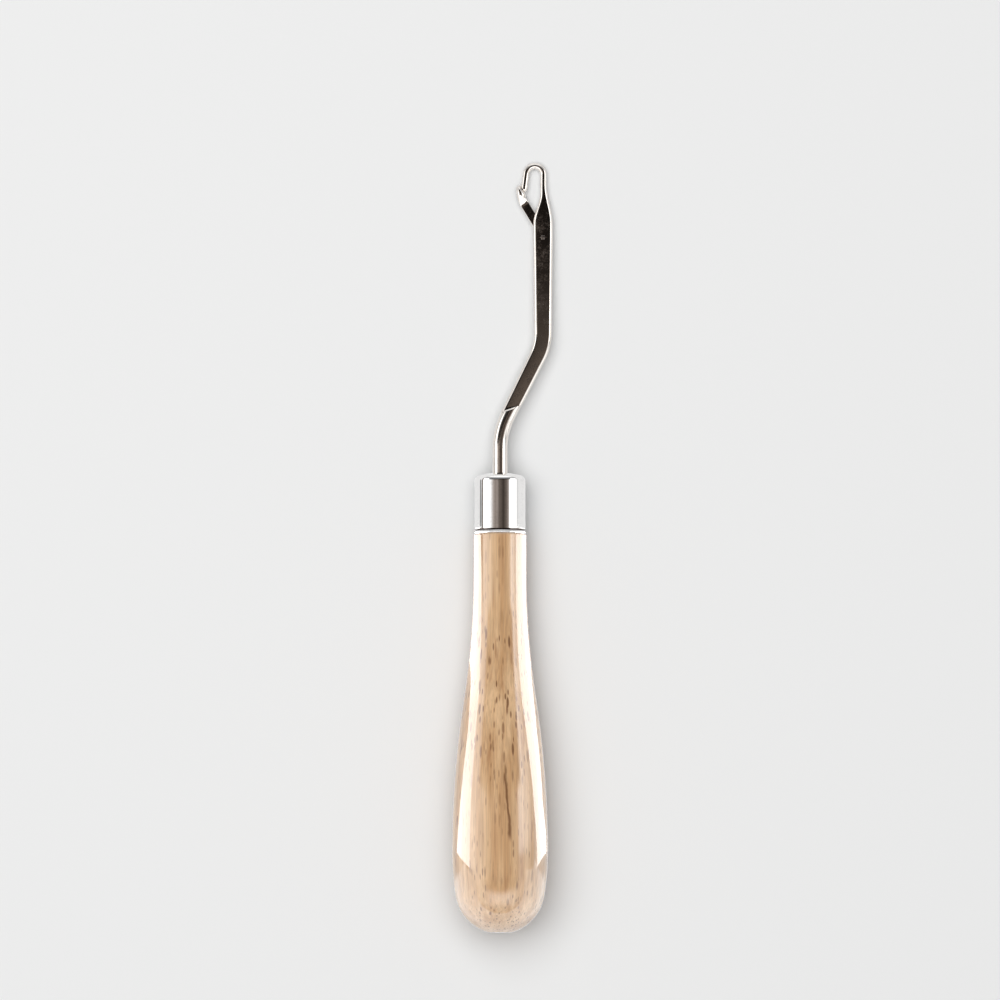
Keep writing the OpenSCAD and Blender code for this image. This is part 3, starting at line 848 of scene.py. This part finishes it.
def latch_sections(latch, spoon_at):
    """Sections of the latch from its eye to its tip: distance, lower and upper edge, half
    thickness and how far the section is round."""
    eye_r, spoon_r = latch.eye_diameter / 2, latch.spoon_width / 2
    half_t, thinnest = latch.thickness / 2, 0.12 * MM
    back = latch.width - latch.seat
    rim = -latch.seat - latch.rim_height
    rise = back - rim - latch.tip_thickness
    run = latch.bend_length + spoon_r
    back_r = (run ** 2 + rise ** 2) / (2 * rise)
    bend_at = spoon_at - latch.bend_length
    rows = []
    # Half round eye and the start of the bar
    for step in range(1, 9):
        turn = math.pi / 2 * step / 8
        half = eye_r * math.sin(turn)
        rows.append((-eye_r * math.cos(turn), -half, half, half_t, 0.0))
    rows.append((0.35 * MM, -latch.seat, eye_r * 0.95, half_t, 0.0))
    rows.append((eye_r, -latch.seat, back, half_t, 0.0))
    # Bar that widens to the spoon, while its back curves down and its rim rises
    flare_from, tip = spoon_at - latch.neck_length, spoon_at + spoon_r
    rim_run = 0.6 * MM
    for step in range(31):
        way = tip - (tip - flare_from) * (1 - step / 30) ** 1.5
        top = back - back_r + math.sqrt(back_r ** 2 - max(0.0, way - bend_at) ** 2)
        low = mix(-latch.seat, rim, smooth_step(way, spoon_at - spoon_r - rim_run, rim_run))
        flare = mix(half_t, spoon_r * 0.98,
                    smooth_step(way, flare_from, latch.neck_length * 0.85))
        round_end = math.sqrt(max(0.0, spoon_r ** 2 - max(0.0, way - spoon_at) ** 2))
        roundness = smooth_step(way, flare_from, latch.neck_length * 0.6)
        rows.append((way, low, top, max(min(flare, round_end), thinnest), roundness))
    return rows


def latch_point(section, turn):
    """Point of a section that goes from flat with small round corners to an ellipse."""
    way, low, top, half, roundness = section
    corner_r = 0.14 * MM
    corner = min(corner_r, half * 0.8, (top - low) * 0.4)
    side = 1 if math.cos(turn) > 0 else -1
    face = 1 if math.sin(turn) > 0 else -1
    across = side * ((top - low) / 2 - corner) + corner * math.cos(turn)
    rise = face * (half - corner) + corner * math.sin(turn)
    across = mix(across, (top - low) / 2 * math.cos(turn), roundness)
    rise = mix(rise, half * math.sin(turn), roundness)
    return Vector((way, (low + top) / 2 + across, rise))


class LATCHHOOK_OT_latch(bpy.types.Operator):
    """Shape the latch with its eye, bar and cupped spoon"""
    bl_idname = "latch_hook.latch"
    bl_label = "Latch"

    def execute(self, context):
        latch = context.scene.latch_hook_latch
        matrix, spoon_at = latch_place(context)
        bm = bmesh.new()
        sweep(bm, latch_sections(latch, spoon_at), 32, latch_point)
        piece = make_piece("swinging_latch", bm, matrix)
        bore = rod("bore_cutter", latch.bore, 4 * latch.thickness, matrix)
        bm = bmesh.new()
        bmesh.ops.create_uvsphere(bm, u_segments=48, v_segments=32, radius=latch.cup_radius)
        cup = make_piece("cup_cutter", bm, matrix @ Matrix.Translation(
            (spoon_at, -latch.seat - latch.cup_radius, 0.0)))
        cut_away(piece, [bore, cup])
        even_shading(piece)
        piece.data.materials.append(
            plated_material(context, "plated_latch_steel", latch.steel, 0.08, 0.05, 0.18, 0.035))
        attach(piece, "latch")
        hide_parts("latch")
        return {"FINISHED"}


class LATCHHOOK_OT_rivet(bpy.types.Operator):
    """Turn the rivet that carries the latch, filed flush with the blade"""
    bl_idname = "latch_hook.rivet"
    bl_label = "Rivet"

    def execute(self, context):
        hook, latch = context.scene.latch_hook_hook, context.scene.latch_hook_latch
        half, radius = hook.blade_thickness / 2, latch.rivet_diameter / 2
        edge = 0.02 * MM
        bm = bmesh.new()
        tip = bm.verts.new((0.0, -half, 0.0))
        tip = line_to(bm, tip, radius - edge, -half)
        tip = arc_to(bm, tip, (radius - edge, -half + edge), math.pi / 2, steps=4)
        tip = line_to(bm, tip, radius, half - edge)
        tip = arc_to(bm, tip, (radius - edge, half - edge), math.pi / 2, steps=4)
        line_to(bm, tip, 0.0, half)
        turn_profile(bm, 64)
        place = tool_place(context) @ Matrix.Translation(rivet_place(context))
        piece = make_piece("latch_pin", bm, place @ Matrix.Rotation(math.pi / 2, 4, "X"))
        piece.data.materials.append(
            plated_material(context, "filed_rivet_steel", latch.rivet_steel, 0.1, 0.26, 0.36, 0.15))
        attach(piece, "tool")
        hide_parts("latch_rivet")
        return {"FINISHED"}


# Studio

# Degrees from straight up, below zero to the left, and how bright the dome is there
ACROSS = ((-100, 0.4), (-83, 0.4), (-79, 2.6), (-60, 1.9), (-50, 1.4), (-41, 1.0),
          (-32, 0.50), (-22, 0.28), (-12, 0.34), (-4, 0.14), (6, 0.11), (15, 0.045), (24, 0.11),
          (34, 0.20), (42, 0.6), (49, 3.3), (58, 3.0), (68, 2.0), (77, 1.6), (88, 1.3), (100, 1.0))

# Rows of a white card in millimetres: where its near edge lies along and across the tool, and
# where its far edge lies along the tool and how high it stands there
LEFT_CARD = ((-65.5, -27.5, -71.5, 30.0), (-50.0, -40.0, -50.0, 30.0), (-30.0, -57.0, -30.0, 32.0),
             (-24.0, -12.0, -14.0, 30.0), (-7.0, -10.0, -5.0, 14.5), (4.0, -10.0, 7.0, 8.0))
RIGHT_CARD = ((-65.5, 18.0, -71.5, 7.0), (-62.0, 18.0, -63.0, 7.5), (-54.0, 24.0, -54.0, 12.0),
              (-37.0, 22.0, -34.0, 21.0), (-24.0, 12.0, -14.0, 29.0), (4.0, 10.0, 7.0, 28.0))
CARD_REACH = 60.0

# The card bent round the butt: its middle along the tool, its lower edge and its upper edge
BUTT_CARD = (-72.0, 3.0, 46.0)

SENSOR = 36.0
FLOOR_WHITE = 0.86
BACKDROP = 0.9


class LATCHHOOK_OT_studio(bpy.types.Operator):
    """Set up the camera, the pale floor, the walls and the lights"""
    bl_idname = "latch_hook.studio"
    bl_label = "Studio"

    def execute(self, context):
        studio = context.scene.latch_hook_studio
        context.scene.view_settings.view_transform = "Standard"
        camera = bpy.data.cameras.new("camera")
        camera.lens, camera.sensor_width = studio.lens, SENSOR
        eye = bpy.data.objects.new("camera", camera)
        half_height = 11.0 * MM
        eye.location = (0.0, studio.centre_y, half_height + studio.field * studio.lens / SENSOR)
        context.scene.collection.objects.link(eye)
        context.scene.camera = eye

        bm = bmesh.new()
        bmesh.ops.create_grid(bm, x_segments=1, y_segments=1, size=studio.floor_size / 2)
        floor = make_piece("floor", bm)
        floor.data.materials.append(self.floor_material(studio))

        self.paint_world(context, studio)
        self.mirrored_dome(studio)
        self.fill_lamp(studio)
        self.white_card("left_card", LEFT_CARD, studio.card_light)
        self.white_card("right_card", RIGHT_CARD, studio.card_light)
        self.butt_card(studio)
        return {"FINISHED"}

    def floor_material(self, studio):
        """A matt pale floor. The object's gloss sees it glow instead, as a painted reflection: near
        white, greyer far to the left of the ferrule and brighter than white beside the butt.
        """
        material, w, shader = new_material("pale_floor")
        shader.inputs["Base Color"].default_value = (*studio.floor, 1.0)
        shader.inputs["Roughness"].default_value = 0.9
        shader.inputs["Specular IOR Level"].default_value = 0.0
        white = w.node("ShaderNodeEmission")
        x, y, _ = w.split(w.here())
        # Grey far to the left of the ferrule, and brightest beside the butt
        beside = w.math("MULTIPLY", w.ramp(y, -0.01, 0.0), w.ramp(y, 0.018, 0.026, 1.0, 0.0))
        left = w.math("MULTIPLY", w.ramp(x, -0.048, -0.036, 0.6, 0.0), beside)
        behind = w.ramp(y, -0.100, -0.086, 0.6, 0.0)
        butt = w.math("MULTIPLY", w.ramp(y, -0.074, -0.0705, 1.0, 0.0),
                      w.ramp(w.math("ABSOLUTE", x), 0.012, 0.024, behind, 1.2))
        w.join(w.math("ADD", w.math("SUBTRACT", FLOOR_WHITE, left), butt), white.inputs["Strength"])
        shown = w.node("ShaderNodeMixShader")
        surface = shader.outputs["BSDF"].links[0].to_socket
        mirrored = w.node("ShaderNodeLightPath").outputs["Is Glossy Ray"]
        w.join(w.math("MULTIPLY", mirrored, self.met_nothing_matt(w)), shown.inputs[0])
        w.join(shader.outputs["BSDF"], shown.inputs[1])
        w.join(white.outputs[0], shown.inputs[2])
        w.join(shown.outputs[0], surface)
        return material

    def met_nothing_matt(self, w):
        """1 for a ray that has met nothing matt on its way, else 0."""
        path = w.node("ShaderNodeLightPath").outputs
        return w.math("LESS_THAN", path["Diffuse Depth"], 0.5)

    def fill_lamp(self, studio):
        """A wide soft lamp overhead that lights the colours and leaves the reflections dark."""
        light = bpy.data.lights.new("fill_lamp", "AREA")
        light.shape, light.size = "SQUARE", studio.fill_size
        light.energy = studio.fill_light * math.pi * light.size ** 2
        lamp = bpy.data.objects.new("fill_lamp", light)
        place = Vector((-0.2, 0.15, 1.5))
        lamp.location = place
        lamp.rotation_euler = (-place).to_track_quat("-Z", "Y").to_euler()
        lamp.visible_camera = False
        lamp.visible_glossy = False
        bpy.context.scene.collection.objects.link(lamp)

    def gloss_only(self, name, bm, brightness):
        """A glowing stage piece that only the gloss of the object mirrors."""
        card = make_piece(name, bm)
        material = bpy.data.materials.new(name)
        w = bare_wiring(material)
        glow = w.node("ShaderNodeEmission")
        w.join(w.math("MULTIPLY", self.met_nothing_matt(w), brightness), glow.inputs["Strength"])
        w.join(glow.outputs[0], w.node("ShaderNodeOutputMaterial").inputs["Surface"])
        card.data.materials.append(material)
        card.visible_camera = False
        card.visible_diffuse = False
        card.visible_shadow = False
        return w, glow

    def white_card(self, name, rows, brightness):
        """A leaning white card beside the handle."""
        bm = bmesh.new()
        bmesh.ops.create_grid(bm, x_segments=1, y_segments=len(rows) - 1, size=MM)
        for v, (row, far) in zip(sorted(bm.verts, key=lambda v: (v.co.y, v.co.x)),
                                 [(row, far) for row in rows for far in (False, True)]):
            near_y, near_x, far_y, height = [value * MM for value in row]
            v.co = (near_x, near_y, 0.6 * MM)
            if far:
                v.co = (math.copysign(CARD_REACH * MM, near_x), far_y, height)
        self.gloss_only(name, bm, brightness)

    def butt_card(self, studio):
        """A low card bent round the butt, brighter to both sides than straight behind."""
        reach, middle = CARD_REACH * MM, BUTT_CARD[0] * MM
        bm = bmesh.new()
        ends = [bm.verts.new((reach, middle, height * MM)) for height in BUTT_CARD[1:]]
        side = bm.edges.new(ends)
        bmesh.ops.spin(bm, geom=[side, *ends], axis=(0.0, 0.0, -1.0), cent=(0.0, middle, 0.0),
                       angle=math.pi, steps=48)
        w, glow = self.gloss_only("butt_card", bm, studio.walls_light)
        x, y, _ = w.split(w.here())
        across = w.ramp(w.math("ABSOLUTE", x), reach * 0.2, reach * 0.75, 1.6, 2.3)
        sides = w.ramp(y, middle - reach * 0.4, middle, 1.0, 0.7)
        w.join(w.grey(w.math("MULTIPLY", across, sides)), glow.inputs["Color"])

    def paint_world(self, context, studio):
        """Faint even light all round, and a pale background for the camera."""
        world = bpy.data.worlds.new("studio_world")
        context.scene.world = world
        w = bare_wiring(world)
        backdrop = w.node("ShaderNodeBackground")
        seen = w.node("ShaderNodeLightPath").outputs["Is Camera Ray"]
        w.join(w.grey(w.ramp(seen, 0.0, 1.0, studio.even_light, BACKDROP)), backdrop.inputs["Color"])
        w.join(backdrop.outputs[0], w.node("ShaderNodeOutputWorld").inputs["Surface"])

    def mirrored_dome(self, studio):
        """Bright walls round a dark ceiling, which only the gloss of the object mirrors."""
        bm = bmesh.new()
        bmesh.ops.create_icosphere(bm, subdivisions=4, radius=studio.dome_radius)
        w, glow = self.gloss_only("mirrored_dome", bm, studio.walls_light)
        x, y, z = w.split(w.vector("NORMALIZE", w.here()))
        # Brightness across the tool, by the angle from straight up
        turn = w.math("ARCTAN2", x, z)
        across = w.node("ShaderNodeValToRGB")
        w.join(w.ramp(turn, -math.pi, math.pi, smooth=False), across.inputs["Fac"])
        stops = across.color_ramp.elements
        stops[0].position, stops[-1].position = 0.0, 1.0
        for degrees, bright in ACROSS:
            stop = stops.new(0.5 + degrees / 360)
            warm = 1.0 - min(1.0, bright)
            stop.color = (bright, bright * (1 - 0.22 * warm), bright * (1 - 0.36 * warm), 1.0)
        # Darker straight above the hook
        above = w.ramp(w.math("ABSOLUTE", turn), 0.84, 1.0)
        dark = w.ramp(y, 0.150, 0.192, 1.0, 0.08)
        tint = w.blend(1.0, across.outputs["Color"], w.grey(w.math("MAXIMUM", dark, above)),
                       "MULTIPLY")
        # The bright streak on the right fades towards the butt
        right = w.math("MULTIPLY", w.ramp(turn, 0.7, 0.8), w.ramp(y, -0.02, 0.06, 0.6, 0.0))
        tint = w.blend(1.0, tint, w.grey(w.math("SUBTRACT", 1.0, right)), "MULTIPLY")
        # Greyer towards the horizon and away from the sides, so that metal seen from a low
        # corner keeps its shape
        tint = w.blend(1.0, tint, w.grey(w.ramp(z, 0.0, 0.35, 0.5, 1.0)), "MULTIPLY")
        corner = w.ramp(w.math("ABSOLUTE", y), 0.40, 0.60)
        tint = w.blend(corner, tint, (0.42, 0.42, 0.43, 1.0))
        # Bright past the butt, less so down at the horizon, and bright past the tip
        edge = w.math("MULTIPLY_ADD", z, 0.19, 0.06)
        butt = w.ramp(w.math("SUBTRACT", w.math("MULTIPLY", y, -1.0), edge), -0.02, 0.07)
        butt = w.math("MULTIPLY", butt, w.ramp(y, -0.85, -0.45, 0.1, 1.0))
        tint = w.blend(butt, tint, w.grey(w.ramp(w.math("ABSOLUTE", x), 0.35, 0.65, 2.2, 1.3)))
        tint = w.blend(w.ramp(y, 0.76, 0.88), tint, (1.2, 1.2, 1.2, 1.0))
        w.join(tint, glow.inputs["Color"])


class LATCHHOOK_PT_panel(bpy.types.Panel):
    """Sidebar panel that lists the pieces"""
    bl_idname = "LATCHHOOK_PT_panel"
    bl_label = "Latch Hook Tool"
    bl_space_type = "VIEW_3D"
    bl_region_type = "UI"
    bl_category = "Latch Hook"

    def draw(self, context):
        for operator, settings in PARTS:
            self.layout.operator(operator.bl_idname)
            for name in getattr(context.scene, settings).bl_rna.properties.keys():
                if name not in ("rna_type", "name"):
                    self.layout.prop(getattr(context.scene, settings), name)


SETTINGS = (
    ("latch_hook_handle", HandleSettings),
    ("latch_hook_ferrule", FerruleSettings),
    ("latch_hook_hook", HookSettings),
    ("latch_hook_latch", LatchSettings),
    ("latch_hook_studio", StudioSettings),
)
PARTS = (
    (LATCHHOOK_OT_studio, "latch_hook_studio"),
    (LATCHHOOK_OT_handle, "latch_hook_handle"),
    (LATCHHOOK_OT_ferrule, "latch_hook_ferrule"),
    (LATCHHOOK_OT_hook, "latch_hook_hook"),
    (LATCHHOOK_OT_latch, "latch_hook_latch"),
    (LATCHHOOK_OT_rivet, "latch_hook_latch"),
)


def register():
    """Registers the settings, the operators and the panel."""
    for name, group in SETTINGS:
        bpy.utils.register_class(group)
        setattr(bpy.types.Scene, name, PointerProperty(type=group))
    for operator, _ in PARTS:
        bpy.utils.register_class(operator)
    bpy.utils.register_class(LATCHHOOK_PT_panel)


def unregister():
    """Removes what register added."""
    bpy.utils.unregister_class(LATCHHOOK_PT_panel)
    for operator, _ in reversed(PARTS):
        bpy.utils.unregister_class(operator)
    for name, group in reversed(SETTINGS):
        delattr(bpy.types.Scene, name)
        bpy.utils.unregister_class(group)


def main():
    """Builds every piece in order."""
    register()
    bpy.ops.latch_hook.studio()
    bpy.ops.latch_hook.handle()
    bpy.ops.latch_hook.ferrule()
    bpy.ops.latch_hook.hook()
    bpy.ops.latch_hook.latch()
    bpy.ops.latch_hook.rivet()


if __name__ == "__main__":
    main()
